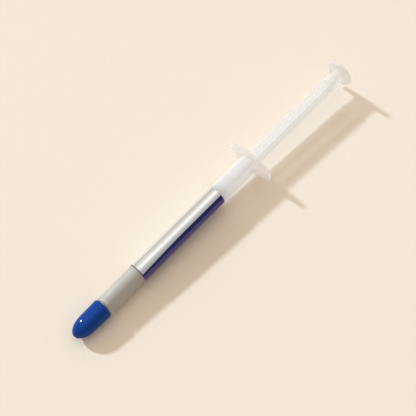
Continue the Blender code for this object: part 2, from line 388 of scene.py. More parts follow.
@dataclass(frozen=True)
class PrintedFoil(Finish):
    """Metallised label: bare silver above, a dark blue printed field below whose lower part is a
    lighter ink as a painted reflection of the table, and a darker band of painted shade along the
    front edge.
    """

    ink: Colour = (0.006, 0.012, 0.165)
    # Lighter ink past the turn change: a painted reflection of the table on the label's lower side
    ink_with_painted_floor_reflection: Colour = (0.052, 0.04, 0.21)
    painted_reflection_change: tuple[float, float] = (0.139, 0.155)
    # Darker band at the label's front edge: painted shade where the foil steps up from the tube
    painted_edge_shade: Colour = rgb("86807b")
    ink_front_turn: float = 40.5 / 360
    ink_rear_turn: float = 31.5 / 360
    ink_levels_off: float = 22.0 * MM
    ink_curve: float = 1.5
    ink_far_turn: float = 0.5
    painted_edge_shade_width: float = 0.45 * MM
    softness: float = 0.0015
    silver_tint: Colour = rgb("e9f2fb")
    silver_cloud: float = 260.0
    wave_scale: float = 120.0
    wave_share: float = 0.7
    grain_scale: float = 900.0
    grain_share: float = 0.3
    wave_roughness: float = 0.08
    ink_roughness: float = 0.05
    ink_dulls: float = 0.6
    painted_edge_shade_dulls: float = 0.5
    film: float = 0.1
    ink_film: float = 0.4

    def constants(self) -> dict[str, Any]:
        """Foil under a thin clear film."""
        return {"Coat Roughness": 0.2, "Specular IOR Level": 0.2}

    def varying(self, graph: Graph, place: bpy.types.NodeSocket) -> dict[str, Any]:
        """Lays out the print along the label and around it, the painted reflection on the ink's
        lower part, the painted shade along the front edge, and the foil's faint waves.

        Args:
            graph: The material's graph.
            place: Object coordinates.

        Returns:
            Sockets or Numbers by the name of the shader's socket that they feed.
        """
        wrap = graph.node("ShaderNodeAttribute", {"attribute_name": "wrap"}).outputs["Vector"]
        axes = graph.node("ShaderNodeSeparateXYZ", None, {0: wrap})
        turn, along = (Number(graph, axes.outputs[i]) for i in (0, 1))
        nearness = (1 - along / self.ink_levels_off).math("MAXIMUM", 0.0)
        curve = nearness.math("POWER", self.ink_curve)
        edge = self.ink_rear_turn + curve * (self.ink_front_turn - self.ink_rear_turn)
        printed = turn.ramp(edge - self.softness, edge + self.softness)
        printed = printed * (1 - turn.above(self.ink_far_turn))
        # Painted shade along the label's front edge, darker and less metallic than the silver
        painted_edge_shaded = 1 - along.above(self.painted_edge_shade_width)
        cloud = graph.noise(place, self.silver_cloud)
        silver = graph.blend(cloud, self.silver_tint, self.colour)
        colour = graph.blend(painted_edge_shaded, silver, self.painted_edge_shade)
        # Painted reflection: the ink field turns lighter on its lower part, as if it mirrored the
        # table
        ink_and_painted_reflection = graph.blend(turn.ramp(*self.painted_reflection_change), self.ink, self.ink_with_painted_floor_reflection)
        waves = graph.noise(place, self.wave_scale, detail=1.0) * self.wave_share
        waves = waves + graph.noise(place, self.grain_scale) * self.grain_share
        wavy = (waves - 0.5) * self.wave_roughness
        return {
            "Base Color": graph.blend(printed, colour, ink_and_painted_reflection),
            "Roughness": self.roughness + printed * self.ink_roughness + wavy,
            "Metallic": 1 - printed * self.ink_dulls - painted_edge_shaded * self.painted_edge_shade_dulls,
            "Coat Weight": self.film + printed * self.ink_film,
            "Normal": self.bump(graph, waves),
        }


@dataclass(frozen=True)
class Paste(Finish):
    """Dense metal-filled grease."""

    def constants(self) -> dict[str, Any]:
        """Wet look of the grease."""
        return {"Metallic": 0.15, "Coat Weight": 0.2, "Coat Roughness": 0.3}


CLEAR = SmearedPlastic(
    "clear_polypropylene",
    rgb("fdfcfc"),
    0.4,
    relief=0.002 * MM,
    cover=0.22,
    gloss=1.0,
    through=0.42,
    scatter=1.0,
    scatter_depth=1.5 * MM,
)
NATURAL = MilkyPlastic(
    "natural_polypropylene",
    rgb("f7f8f9"),
    0.42,
    relief=0.001 * MM,
    cover=0.36,
    through=0.35,
)
BLUE = SolidPlastic("blue_polyethylene", rgb("003d8f"), 0.33)
FOIL = PrintedFoil("foil_label", rgb("f1f8ff"), 0.14, relief=0.008 * MM)
GREY_PASTE = Paste("grey_paste", rgb("bcb7ae"), 0.5, relief_scale=500.0)
RUBBER = Finish("black_rubber", rgb("161616"), 0.55)
TABLE_TOP = Finish(
    "table_top",
    rgb("f3e6d4"),
    0.8,
    relief=0.05 * MM,
    relief_scale=600.0,
    mottle=0.015,
)


@dataclass(frozen=True)
class SyringeAxis:
    """Line down the middle of the syringe, as it lies on the table."""

    shoulder: Vector
    direction: Vector

    @classmethod
    def from_joints(cls, joints: Sequence[dict[str, Any]], piston_rear: float) -> "SyringeAxis":
        """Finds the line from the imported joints.

        Args:
            joints: The frame's joints.
            piston_rear: Station of the piston's rear face, where the rod turns.

        Returns:
            The axis, from the barrel's shoulder towards the thumb pad.
        """
        twist = next(joint for joint in joints if joint["name"] == "rod_twist")
        direction = Vector(twist["axis"]).normalized()
        return cls(Vector(twist["pos_m"]) - direction * piston_rear, direction)

    def matrix(self) -> Matrix:
        """Transform from stations along X to the row frame.

        Returns:
            A 4 by 4 matrix without any scale.
        """
        across = Vector((0.0, 1.0, 0.0))
        up = self.direction.cross(across)
        turned = Matrix((self.direction, across, up)).transposed().to_4x4()
        return Matrix.Translation(self.shoulder) @ turned

    def at(self, station: float) -> Vector:
        """Point on the axis at a station."""
        return self.shoulder + self.direction * station


def arc(
    station: float, radius: float, size: float, start: float, end: float, steps: int = 8
) -> Outline:
    """Points on an arc of an outline.

    Args:
        station: Station of the arc's centre.
        radius: Distance of the arc's centre from the axis.
        size: The arc's own radius.
        start: First angle in degrees, from the rod's end towards the outside.
        end: Last angle in degrees.
        steps: Number of pieces of the arc.

    Returns:
        Points (station, radius).
    """
    turns = [math.radians(start + (end - start) * i / steps) for i in range(steps + 1)]
    return [(station + size * math.cos(a), radius + size * math.sin(a)) for a in turns]


def front_corner(station: float, radius: float, edge: float, steps: int = 8) -> Outline:
    """Rounded corner from a front face at a station to an outside of a radius."""
    return arc(station + edge, radius - edge, edge, 180, 90, steps)


def rear_corner(station: float, radius: float, edge: float, steps: int = 8) -> Outline:
    """Rounded corner from an outside of a radius to a rear face at a station."""
    return arc(station - edge, radius - edge, edge, 90, 0, steps)


def root_fillet(station: float, radius: float, size: float) -> Outline:
    """Fillet from an outside of a radius to a front face at a station."""
    return arc(station - size, radius + size, size, -90, 0)


def circles(outline: Outline) -> list[Ring]:
    """Round rings from an outline."""
    return [Ring(station, radius, radius) for station, radius in outline]


@dataclass(frozen=True)
class Workshop:
    """Turns outlines and meshes into finished pieces, laid along the syringe's axis."""

    axis: SyringeAxis
    segments: int = 144
    holding: float = 0.12 * MM
    holdings_in_stretch: float = 6
    sharp_angle: float = math.radians(32)

    def held(self, rings: Sequence[Ring]) -> list[Ring]:
        """Adds a ring just inside both ends of each long stretch, so that it shades straight.

        Args:
            rings: The rings in order.

        Returns:
            The rings with the added ones between them.
        """
        kept = [rings[0]]
        for first, second in zip(rings, rings[1:]):
            length = math.dist(first, second)
            if length > self.holdings_in_stretch * self.holding:
                shares = (self.holding / length, 1 - self.holding / length)
                kept += [
                    Ring(*(a + (b - a) * share for a, b in zip(first, second))) for share in shares
                ]
            kept.append(second)
        return kept

    def ring_mesh(self, rings: Sequence[Ring]) -> bmesh.types.BMesh:
        """Closed skin over a row of rings. A row that starts on a full ring runs back to it.

        Args:
            rings: The rings in order, the solid on the same side all the way.

        Returns:
            The mesh, with its normals outwards.
        """
        closed = rings[0].half_width > 0
        rings = self.held([*rings, rings[0]] if closed else rings)
        bm = bmesh.new()
        loops = [self._ring_vertices(bm, ring) for ring in (rings[:-1] if closed else rings)]
        pairs = list(zip(loops, loops[1:])) + ([(loops[-1], loops[0])] if closed else [])
        for first, second in pairs:
            for i in range(self.segments):
                j = (i + 1) % self.segments
                corners = [first[i % len(first)], first[j % len(first)]]
                corners += [second[j % len(second)], second[i % len(second)]]
                bm.faces.new(dict.fromkeys(corners))
        bmesh.ops.recalc_face_normals(bm, faces=bm.faces)
        return bm

    def _ring_vertices(self, bm: bmesh.types.BMesh, ring: Ring) -> list[bmesh.types.BMVert]:
        """Adds the vertices of one ring, or a single point where it has no size.

        Args:
            bm: The mesh that they go into.
            ring: The ring.

        Returns:
            The new vertices, in order around the axis.
        """
        x, width, height = ring
        if not width:
            return [bm.verts.new((x, 0.0, 0.0))]
        turns = [FULL_TURN * i / self.segments for i in range(self.segments)]
        return [bm.verts.new((x, width * math.cos(a), height * math.sin(a))) for a in turns]

    def piece(
        self, name: str, shape: bmesh.types.BMesh | bpy.types.Mesh, finish: bpy.types.Material
    ) -> bpy.types.Object:
        """Makes an object of a shape, laid along the axis.

        Args:
            name: The piece's name.
            shape: The shape, with stations along X.
            finish: Its material.

        Returns:
            The object, at the origin with its place in its mesh.
        """
        if isinstance(shape, bmesh.types.BMesh):
            mesh = bpy.data.meshes.new(name)
            shape.to_mesh(mesh)
            shape.free()
        else:
            mesh = shape
            mesh.name = name
        stations = mesh.attributes.new("station", "FLOAT", "POINT")
        stations.data.foreach_set("value", [vertex.co.x for vertex in mesh.vertices])
        mesh.transform(self.axis.matrix())
        mesh.shade_smooth()
        mesh.set_sharp_from_angle(angle=self.sharp_angle)
        mesh.materials.clear()
        mesh.materials.append(finish)
        made = bpy.data.objects.new(name, mesh)
        bpy.context.scene.collection.objects.link(made)
        weighted = made.modifiers.new("flat_faces", "WEIGHTED_NORMAL")
        weighted.keep_sharp = True
        made.data = self.evaluated_mesh(made)
        bpy.data.meshes.remove(mesh)
        made.data.name = name
        return made

    def working_object(self, name: str, shape: bmesh.types.BMesh) -> bpy.types.Object:
        """Makes a passing object that a modifier needs.

        Args:
            name: Its name.
            shape: Its shape, which is used up.

        Returns:
            The object, in the scene.
        """
        mesh = bpy.data.meshes.new(name)
        shape.to_mesh(mesh)
        shape.free()
        made = bpy.data.objects.new(name, mesh)
        bpy.context.scene.collection.objects.link(made)
        return made

    @staticmethod
    def evaluated_mesh(obj: bpy.types.Object) -> bpy.types.Mesh:
        """Turns an object with its modifiers into a plain mesh, and removes the modifiers.

        Args:
            obj: The object.

        Returns:
            The new mesh, which the object doesn't use yet.
        """
        depsgraph = bpy.context.evaluated_depsgraph_get()
        depsgraph.update()
        mesh = bpy.data.meshes.new_from_object(obj.evaluated_get(depsgraph))
        obj.modifiers.clear()
        return mesh


def dress(piece: bpy.types.Object, body: Body, slot: Slot, *nodes: str) -> None:
    """Lets a piece ride on its body and stand for its CAD nodes.

    Args:
        piece: The finished piece.
        body: The body that it rides on.
        slot: The record's material slot for the piece; not used.
        *nodes: The CAD nodes that it replaces.
    """
    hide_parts(*nodes)
    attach(piece, body.value)


@dataclass(frozen=True)
class Barrel:
    """Tube with its nozzle in front and its oval finger flange behind, one moulding."""

    radius: float = 3.7 * MM
    bore: float = 3.1 * MM
    length: float = 75.35 * MM
    shoulder_edge: float = 0.2 * MM
    neck_radius: float = 2.7 * MM
    neck_length: float = 2.4 * MM
    neck_edge: float = 0.3 * MM
    nozzle_root: float = 2.0 * MM
    nozzle_tip: float = 1.85 * MM
    nozzle_length: float = 8.6 * MM
    nozzle_edge: float = 0.15 * MM
    channel: float = 0.8 * MM
    wall_front: float = 0.3 * MM
    cone_depth: float = 0.35 * MM
    flange_half_width: float = 9.65 * MM
    flange_half_height: float = 6.3 * MM
    flange_thickness: float = 1.25 * MM
    flange_edge: float = 0.35 * MM
    flange_fillet: float = 0.8 * MM
    mouth_lead_in: float = 0.4 * MM
    bead_radius: float = 3.02 * MM
    bead_depth: float = 2.3 * MM
    bead_width: float = 0.3 * MM
    bead_slope: float = 0.3 * MM

    @property
    def tip(self) -> float:
        """Station of the nozzle's tip."""
        return -self.neck_length - self.nozzle_length

    @property
    def flange_front(self) -> float:
        """Station of the flange's front face."""
        return self.length - self.flange_thickness

    def outside(self) -> list[Ring]:
        """Nozzle, neck, shoulder and tube, up to the fillet under the flange.

        Returns:
            The rings from the nozzle's tip to the flange's front face.
        """
        outline = [
            (self.tip, self.nozzle_tip - self.nozzle_edge),
            *front_corner(self.tip, self.nozzle_tip, self.nozzle_edge, steps=3),
            (-self.neck_length, self.nozzle_root),
            *front_corner(-self.neck_length, self.neck_radius, self.neck_edge, steps=4),
            (0.0, self.neck_radius),
            *front_corner(0.0, self.radius, self.shoulder_edge, steps=4),
            *root_fillet(self.flange_front, self.radius, self.flange_fillet),
        ]
        return circles(outline)

    def flange(self) -> list[Ring]:
        """Oval plate with its rounded edge.

        Returns:
            The rings from the front face to the rear face.
        """
        edge = front_corner(self.flange_front, 0.0, self.flange_edge)
        edge += rear_corner(self.length, 0.0, self.flange_edge)
        width, height = self.flange_half_width, self.flange_half_height
        return [Ring(station, width + inset, height + inset) for station, inset in edge]

    def inside(self) -> list[Ring]:
        """Mouth, bead and bore, then the cone and the nozzle's channel.

        Returns:
            The rings from the mouth to the nozzle's tip.
        """
        bead_rear = self.length - self.bead_depth
        bead_front = bead_rear - self.bead_width
        outline = [
            (self.length, self.bore + self.mouth_lead_in),
            (self.length - self.mouth_lead_in, self.bore),
            (bead_rear + self.bead_slope, self.bore),
            (bead_rear, self.bead_radius),
            (bead_front, self.bead_radius),
            (bead_front - self.bead_slope, self.bore),
            (self.wall_front + self.cone_depth, self.bore),
            (self.wall_front, self.channel),
            (self.tip, self.channel),
        ]
        return circles(outline)

    def build(self, workshop: Workshop) -> list[bpy.types.Object]:
        """Makes the barrel.

        Args:
            workshop: Where the pieces are made.

        Returns:
            The finished piece.
        """
        shape = workshop.ring_mesh(self.outside() + self.flange() + self.inside())
        made = workshop.piece("barrel_moulding", shape, CLEAR.material())
        dress(made, Body.BARREL, Slot.CLEAR, "barrel")
        return [made]


@dataclass(frozen=True)
class Cap:
    """Bullet-shaped cap, pushed over the nozzle and the neck."""

    barrel: Barrel
    nose_length: float = 6.4 * MM
    nose_radius: float = 3.62 * MM
    rim_radius: float = 3.77 * MM
    rim_edge: float = 0.95 * MM
    end_wall: float = 1.6 * MM
    spare: float = 1.6 * MM
    spare_radius: float = 0.8 * MM
    lead_in: float = 0.2 * MM
    fit: float = 0.05 * MM
    seat_gap: float = 0.15 * MM
    nose_steps: int = 32

    @property
    def tip(self) -> float:
        """Station of the cap's tip."""
        return self.barrel.tip - self.seat_gap - self.spare - self.end_wall

    def outside(self) -> list[Ring]:
        """Half-elliptical nose, the flare and the rounded rim.

        Returns:
            The rings from the tip to the rim.
        """
        turns = [math.pi / 2 * i / self.nose_steps for i in range(self.nose_steps + 1)]
        length, radius = self.nose_length, self.nose_radius
        nose_end = self.tip + length
        nose = [(nose_end - length * math.cos(a), radius * math.sin(a)) for a in turns]
        return circles(nose + rear_corner(-self.seat_gap, self.rim_radius, self.rim_edge))

    def inside(self) -> list[Ring]:
        """Sockets over the neck and over the nozzle.

        Returns:
            The rings from the rim to the bottom of the inner socket.
        """
        barrel = self.barrel
        neck = barrel.neck_radius + self.fit
        floor = -barrel.neck_length - self.seat_gap
        end = barrel.tip - self.seat_gap
        outline = [
            (-self.seat_gap, neck + self.lead_in),
            (-self.seat_gap - self.lead_in, neck),
            (floor, neck),
            (floor, barrel.nozzle_root + self.fit),
            (end, barrel.nozzle_tip + self.fit),
            (end - self.spare, self.spare_radius),
            (end - self.spare, 0.0),
        ]
        return circles(outline)

    def build(self, workshop: Workshop) -> list[bpy.types.Object]:
        """Makes the cap.

        Args:
            workshop: Where the pieces are made.

        Returns:
            The finished piece.
        """
        shape = workshop.ring_mesh(self.outside() + self.inside())
        made = workshop.piece("cap_moulding", shape, BLUE.material())
        dress(made, Body.CAP, Slot.BLUE, "cap")
        return [made]


@dataclass(frozen=True)
class Label:
    """Foil wrapped once around the barrel, with a narrow open seam underneath."""

    barrel: Barrel
    start: float = 16.35 * MM
    length: float = 40.35 * MM
    gap: float = 0.03 * MM
    thickness: float = 0.07 * MM
    seam_turn: float = 2 / 48
    columns: int = 180
    rows: int = 60

    def build(self, workshop: Workshop) -> list[bpy.types.Object]:
        """Makes the sleeve, with its place around and along kept for the print.

        Args:
            workshop: Where the pieces are made.

        Returns:
            The finished piece.
        """
        bm = bmesh.new()
        inner = self.barrel.radius + self.gap
        grids = [self._skin(bm, radius) for radius in (inner, inner + self.thickness)]
        for grid, step in zip(grids, (1, -1)):
            for row, after in zip(grid, grid[1:]):
                for quad in zip(row, row[1:], after[1:], after):
                    bm.faces.new(quad[::step])
        inside, outside = (self._border(grid) for grid in grids)
        for i, vertex in enumerate(inside):
            j = (i + 1) % len(inside)
            bm.faces.new((vertex, outside[i], outside[j], inside[j]))
        bmesh.ops.recalc_face_normals(bm, faces=bm.faces)
        made = workshop.piece("label_foil", bm, FOIL.material())
        self._mark_wrap(made.data, workshop.axis)
        dress(made, Body.BARREL, Slot.FOIL, "label")
        return [made]

    @staticmethod
    def _border(grid: list[list[bmesh.types.BMVert]]) -> list[bmesh.types.BMVert]:
        """Walks once around the edge of a grid of vertices.

        Args:
            grid: The vertices, row by row.

        Returns:
            The first row, the rows' ends, the last row backwards and the rows' starts.
        """
        row_ends = [row[-1] for row in grid[1:]]
        row_starts = [row[0] for row in grid[-2:0:-1]]
        return grid[0] + row_ends + grid[-1][-2::-1] + row_starts

    def _skin(self, bm: bmesh.types.BMesh, radius: float) -> list[list[bmesh.types.BMVert]]:
        """Adds the vertices of one side of the foil.

        Args:
            bm: The mesh that they go into.
            radius: Distance of this side from the axis.

        Returns:
            The new vertices, row by row along the label.
        """
        first = -math.pi / 2 + math.pi * self.seam_turn
        sweep = FULL_TURN * (1 - self.seam_turn)
        turns = [first + sweep * i / self.columns for i in range(self.columns + 1)]
        stations = [self.start + self.length * i / self.rows for i in range(self.rows + 1)]
        return [
            [bm.verts.new((x, radius * math.cos(a), radius * math.sin(a))) for a in turns]
            for x in stations
        ]

    def _mark_wrap(self, mesh: bpy.types.Mesh, axis: SyringeAxis) -> None:
        """Stores the place of each vertex around and along the label, for the print.

        The place is the turn from the top towards the near side, and the distance from the
        label's start in metres.

        Args:
            mesh: The label's mesh, in the row frame.
            axis: The syringe's axis.
        """
        wrap = mesh.attributes.new("wrap", "FLOAT_VECTOR", "POINT")
        back = axis.matrix().inverted()
        for vertex, mark in zip(mesh.vertices, wrap.data):
            x, y, z = back @ vertex.co
            turn = math.atan2(-y, z) / FULL_TURN
            mark.vector = (turn if turn > -ROUNDING else turn + 1.0, x - self.start, 0.0)


@dataclass(frozen=True)
class Piston:
    """Rubber piston with two sealing lips, a waist and a socket for the rod's head."""

    barrel: Barrel
    front: float = 45.0 * MM
    length: float = 6.5 * MM
    cone_depth: float = 0.8 * MM
    cone_tip: float = 0.8 * MM
    face_radius: float = 2.9 * MM
    lip_gap: float = 0.03 * MM
    lip_length: float = 1.3 * MM
    waist_radius: float = 2.75 * MM
    waist_fillet: float = 0.2 * MM
    neck_hole: float = 1.15 * MM
    head_hole: float = 1.75 * MM
    head_point: float = 1.2 * MM
    retainer: float = 1.2 * MM
    head_depth: float = 3.4 * MM
    head_taper_share: float = 1 / 3

    @property
    def rear(self) -> float:
        """Station of the rear face."""
        return self.front + self.length

    def outline(self) -> Outline:
        """Cone, front lip, waist and rear lip, then the socket.

        Returns:
            Points from the cone's tip to the bottom of the socket.
        """
        lip = self.barrel.bore - self.lip_gap
        edge = lip - self.face_radius
        front, rear = self.front, self.rear
        waist_front = front + self.lip_length
        waist_rear = rear - self.lip_length
        retainer = rear - self.retainer
        return [
            (front - self.cone_depth, 0.0),
            (front - self.cone_depth, self.cone_tip),
            (front, self.face_radius),
            *front_corner(front, lip, edge, steps=5),
            *rear_corner(waist_front, lip, edge, steps=5),
            (waist_front + self.waist_fillet, self.waist_radius),
            (waist_rear - self.waist_fillet, self.waist_radius),
            *front_corner(waist_rear, lip, edge, steps=5),
            *rear_corner(rear, lip, edge, steps=5),
            (rear, self.neck_hole),
            (retainer, self.neck_hole),
            (retainer, self.head_hole),
            (rear - self.head_depth + self.head_depth * self.head_taper_share, self.head_hole),
            (rear - self.head_depth, self.head_point),
            (rear - self.head_depth, 0.0),
        ]

    def build(self, workshop: Workshop) -> list[bpy.types.Object]:
        """Makes the piston.

        Args:
            workshop: Where the pieces are made.

        Returns:
            The finished piece.
        """
        shape = workshop.ring_mesh(circles(self.outline()))
        made = workshop.piece("piston_rubber", shape, RUBBER.material())
        dress(made, Body.PISTON, Slot.RUBBER, "piston_stopper")
        return [made]


@dataclass(frozen=True)
class PasteFill:
    """Paste in the bore, which the piston drives forward, and the paste left in the channel."""

    barrel: Barrel
    piston: Piston
    gap: float = 0.03 * MM
    end_gap: float = 0.2 * MM
    least_keep: float = 0.01

    def build(self, workshop: Workshop) -> list[bpy.types.Object]:
        """Makes the column and the channel's filling.

        Args:
            workshop: Where the pieces are made.

        Returns:
            The two finished pieces.
        """
        barrel, piston = self.barrel, self.piston
        channel, bore = barrel.channel - self.gap, barrel.bore - self.gap
        front = barrel.wall_front + self.gap
        face = piston.front - self.end_gap
        column = [
            (front, 0.0),
            (front, channel),
            (front + barrel.cone_depth, bore),
            (face, bore),
            (face, piston.face_radius),
            (face - piston.cone_depth, piston.cone_tip),
            (face - piston.cone_depth, 0.0),
        ]
        filling = [
            (barrel.tip + self.end_gap, 0.0),
            (barrel.tip + self.end_gap, channel),
            (front - self.gap, channel),
            (front - self.gap, 0.0),
        ]
        finish = GREY_PASTE.material()
        made = [
            workshop.piece("paste_column", workshop.ring_mesh(circles(column)), finish),
            workshop.piece("paste_in_nozzle", workshop.ring_mesh(circles(filling)), finish),
        ]
        dress(made[0], Body.BARREL, Slot.PASTE, "thermal_paste")
        dress(made[1], Body.BARREL, Slot.PASTE, "thermal_paste")
        travel = next(j for j in frame["joints"] if j["name"] == "plunger_slide")["range_m"][1]
        keep = 1 - travel / (face - front)
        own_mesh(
            made[0],
            "plunger_slide",
            axis=workshop.axis.direction,
            anchor=workshop.axis.at(front),
            keep=max(keep, self.least_keep),
        )
        return made


@dataclass(frozen=True)
class RibTree:
    """Geometry nodes that draw the ribs' star-shaped section by rule and run it along the rod."""

    count: int = 4
    half_span: float = 2.78 * MM
    thickness: float = 1.0 * MM
    tip_edge: float = 0.15 * MM
    root_fillet: float = 0.4 * MM
    rounding_steps: int = 5
    fewest: int = 3
    weld: float = 0.001 * MM

    def inputs(self, start: float, end: float) -> dict[str, tuple[str, Any]]:
        """The tree's named inputs.

        Args:
            start: Station where the ribs begin.
            end: Station where they end.

        Returns:
            The socket type and the value of each input, by name.
        """
        return {
            "Rib count": ("NodeSocketInt", self.count),
            "Half span": ("NodeSocketFloat", self.half_span),
            "Thickness": ("NodeSocketFloat", self.thickness),
            "Tip edge": ("NodeSocketFloat", self.tip_edge),
            "Root fillet": ("NodeSocketFloat", self.root_fillet),
            "Start": ("NodeSocketFloat", start),
            "End": ("NodeSocketFloat", end),
            "Finish": ("NodeSocketMaterial", None),
        }

    def mesh(self, workshop: Workshop, start: float, end: float) -> bpy.types.Object:
        """Runs the tree on a passing object.

        Args:
            workshop: Where the pieces are made.
            start: Station where the ribs begin.
            end: Station where they end.

        Returns:
            A passing object with the ribs as its plain mesh.
        """
        tree = bpy.data.node_groups.new("rod_ribs", "GeometryNodeTree")
        holder = workshop.working_object("rod_ribs", bmesh.new())
        modifier = holder.modifiers.new("ribs", "NODES")
        sockets = {
            name: tree.interface.new_socket(name, in_out="INPUT", socket_type=kind)
            for name, (kind, _) in self.inputs(start, end).items()
        }
        tree.interface.new_socket("Geometry", in_out="OUTPUT", socket_type="NodeSocketGeometry")
        self._fill(Graph(tree))
        modifier.node_group = tree
        for name, (_, value) in self.inputs(start, end).items():
            if value is not None:
                modifier[sockets[name].identifier] = value
        mesh = workshop.evaluated_mesh(holder)
        bm = bmesh.new()
        bm.from_mesh(mesh)
        bmesh.ops.remove_doubles(bm, verts=bm.verts, dist=self.weld)
        bmesh.ops.recalc_face_normals(bm, faces=bm.faces)
        bm.to_mesh(mesh)
        bm.free()
        holder.data = mesh
        return holder

    def _fill(self, graph: Graph) -> None:
        """Adds the nodes: three corners for each rib, rounded, then run along a line.

        Corners 0 and 1 of a rib are at its tip, and corner 2 is the root between it and the next.

        Args:
            graph: The empty tree.
        """
        corners, past_tip = 3, 1.5
        given = graph.node("NodeGroupInput")
        count, span, thickness, edge, fillet, start, end = (
            Number(graph, given.outputs[i]) for i in range(7)
        )
        half = thickness / 2
        index = graph.number("GeometryNodeInputIndex", None, None)
        rib = (index / corners).math("FLOOR")
        corner = index - rib * corners
        rooted = corner.above(past_tip)
        step = FULL_TURN / count.math("MAXIMUM", self.fewest)
        tip_turn = half.math("ARCTAN2", span)
        tip_reach = (span * span + half * half).math("SQRT")
        root_reach = half / (step / 2).math("SINE")
        reach = tip_reach + rooted * (root_reach - tip_reach)
        turn = rib * step + rooted * (step / 2) + (1 - rooted) * (corner * 2 - 1) * tip_turn

        def made(kind: str, settings: Settings = None, **inputs: Any) -> bpy.types.NodeSocket:
            """First output of a new node, whose inputs are given with _ for a blank."""
            named = {name.replace("_", " "): value for name, value in inputs.items()}
            return graph.node(kind, settings, named).outputs[0]

        across, upwards = reach * turn.math("COSINE"), reach * turn.math("SINE")
        place = made("ShaderNodeCombineXYZ", X=across, Y=upwards)
        ring = made("GeometryNodeCurvePrimitiveCircle", Resolution=count * corners)
        star = made("GeometryNodeSetPosition", Geometry=ring, Position=place)
        rounded = made(
            "GeometryNodeFilletCurve",
            {"mode": "POLY"},
            Curve=star,
            Radius=edge + rooted * (fillet - edge),
            Count=self.rounding_steps,
            Limit_Radius=True,
        )
        first, last = (made("ShaderNodeCombineXYZ", X=x) for x in (start, end))
        line = made("GeometryNodeCurvePrimitiveLine", Start=first, End=last)
        swept = made("GeometryNodeCurveToMesh", Curve=line, Profile_Curve=rounded, Fill_Caps=True)
        real = made("GeometryNodeRealizeInstances", Geometry=swept)
        material = given.outputs["Finish"]
        finished = made("GeometryNodeSetMaterial", Geometry=real, Material=material)
        graph.node("NodeGroupOutput", None, {"Geometry": finished})


@dataclass(frozen=True)
class PlungerRod:
    """Rod of one moulding: head and disc, four ribs, the round stem and the thumb pad."""

    piston: Piston
    ribs: RibTree = field(default_factory=RibTree)
    head_radius: float = 1.65 * MM
    head_length: float = 2.0 * MM
    head_taper: float = 1.0 * MM
    head_point: float = 1.1 * MM
    neck_radius: float = 1.05 * MM
    fit: float = 0.1 * MM
    disc_radius: float = 2.98 * MM
    disc_thickness: float = 0.9 * MM
    disc_edge: float = 0.15 * MM
    overlap: float = 0.4 * MM
    stem_start: float = 117.8 * MM
    stem_start_radius: float = 2.7 * MM
    stem_taper: float = 1.6 * MM
    stem_radius: float = 2.42 * MM
    stem_fillet: float = 1.4 * MM
    stem_edge: float = 0.2 * MM
    pad_front: float = 124.5 * MM
    pad_radius: float = 5.5 * MM
    pad_thickness: float = 1.1 * MM
    pad_edge: float = 0.35 * MM
    roll: float = math.radians(4)

    def front_end(self) -> list[Ring]:
        """Head, neck and disc.

        Returns:
            The rings from the head's point to the middle of the disc's rear face.
        """
        rear = self.piston.rear
        head_rear = rear - self.piston.retainer - self.fit
        head_front = head_rear - self.head_length
        disc = rear + self.fit
        disc_rear = disc + self.disc_thickness
        return circles(
            [
                (head_front, 0.0),
                (head_front, self.head_point),
                (head_front + self.head_taper, self.head_radius),
                (head_rear, self.head_radius),
                (head_rear, self.neck_radius),
                (disc, self.neck_radius),
                *front_corner(disc, self.disc_radius, self.disc_edge, steps=4),
                *rear_corner(disc_rear, self.disc_radius, self.disc_edge, steps=4),
                (disc_rear, 0.0),
            ]
        )

    def rear_end(self) -> list[Ring]:
        """Stem, fillet and thumb pad.

        Returns:
            The rings from the middle of the stem's front face to the middle of the pad.
        """
        pad_rear = self.pad_front + self.pad_thickness
        return circles(
            [
                (self.stem_start, 0.0),
                *front_corner(self.stem_start, self.stem_start_radius, self.stem_edge, steps=4),
                (self.stem_start + self.stem_taper, self.stem_radius),
                *root_fillet(self.pad_front, self.stem_radius, self.stem_fillet),
                *front_corner(self.pad_front, self.pad_radius, self.pad_edge),
                *rear_corner(pad_rear, self.pad_radius, self.pad_edge),
                (pad_rear, 0.0),
            ]
        )

    def build(self, workshop: Workshop) -> list[bpy.types.Object]:
        """Unites the ends with the ribs and turns the rod to the roll it lies at.

        Args:
            workshop: Where the pieces are made.

        Returns:
            The finished piece.
        """
        ribs_start = self.piston.rear + self.fit + self.disc_thickness - self.overlap
        rod = self.ribs.mesh(workshop, ribs_start, self.stem_start + self.overlap)
        ends = [
            workshop.working_object(name, workshop.ring_mesh(rings))
            for name, rings in (("rod_front", self.front_end()), ("rod_rear", self.rear_end()))
        ]
        for end in ends:
            union = rod.modifiers.new(end.name, "BOOLEAN")
            union.operation = "UNION"
            union.solver = "EXACT"
            union.object = end
        mesh = workshop.evaluated_mesh(rod)
        for passing in (rod, *ends):
            bpy.data.objects.remove(passing, do_unlink=True)
        mesh.transform(Matrix.Rotation(self.roll, 4, "X"))
        made = workshop.piece("plunger_rod_moulding", mesh, NATURAL.material())
        dress(made, Body.ROD, Slot.NATURAL, "plunger_rod")
        return [made]


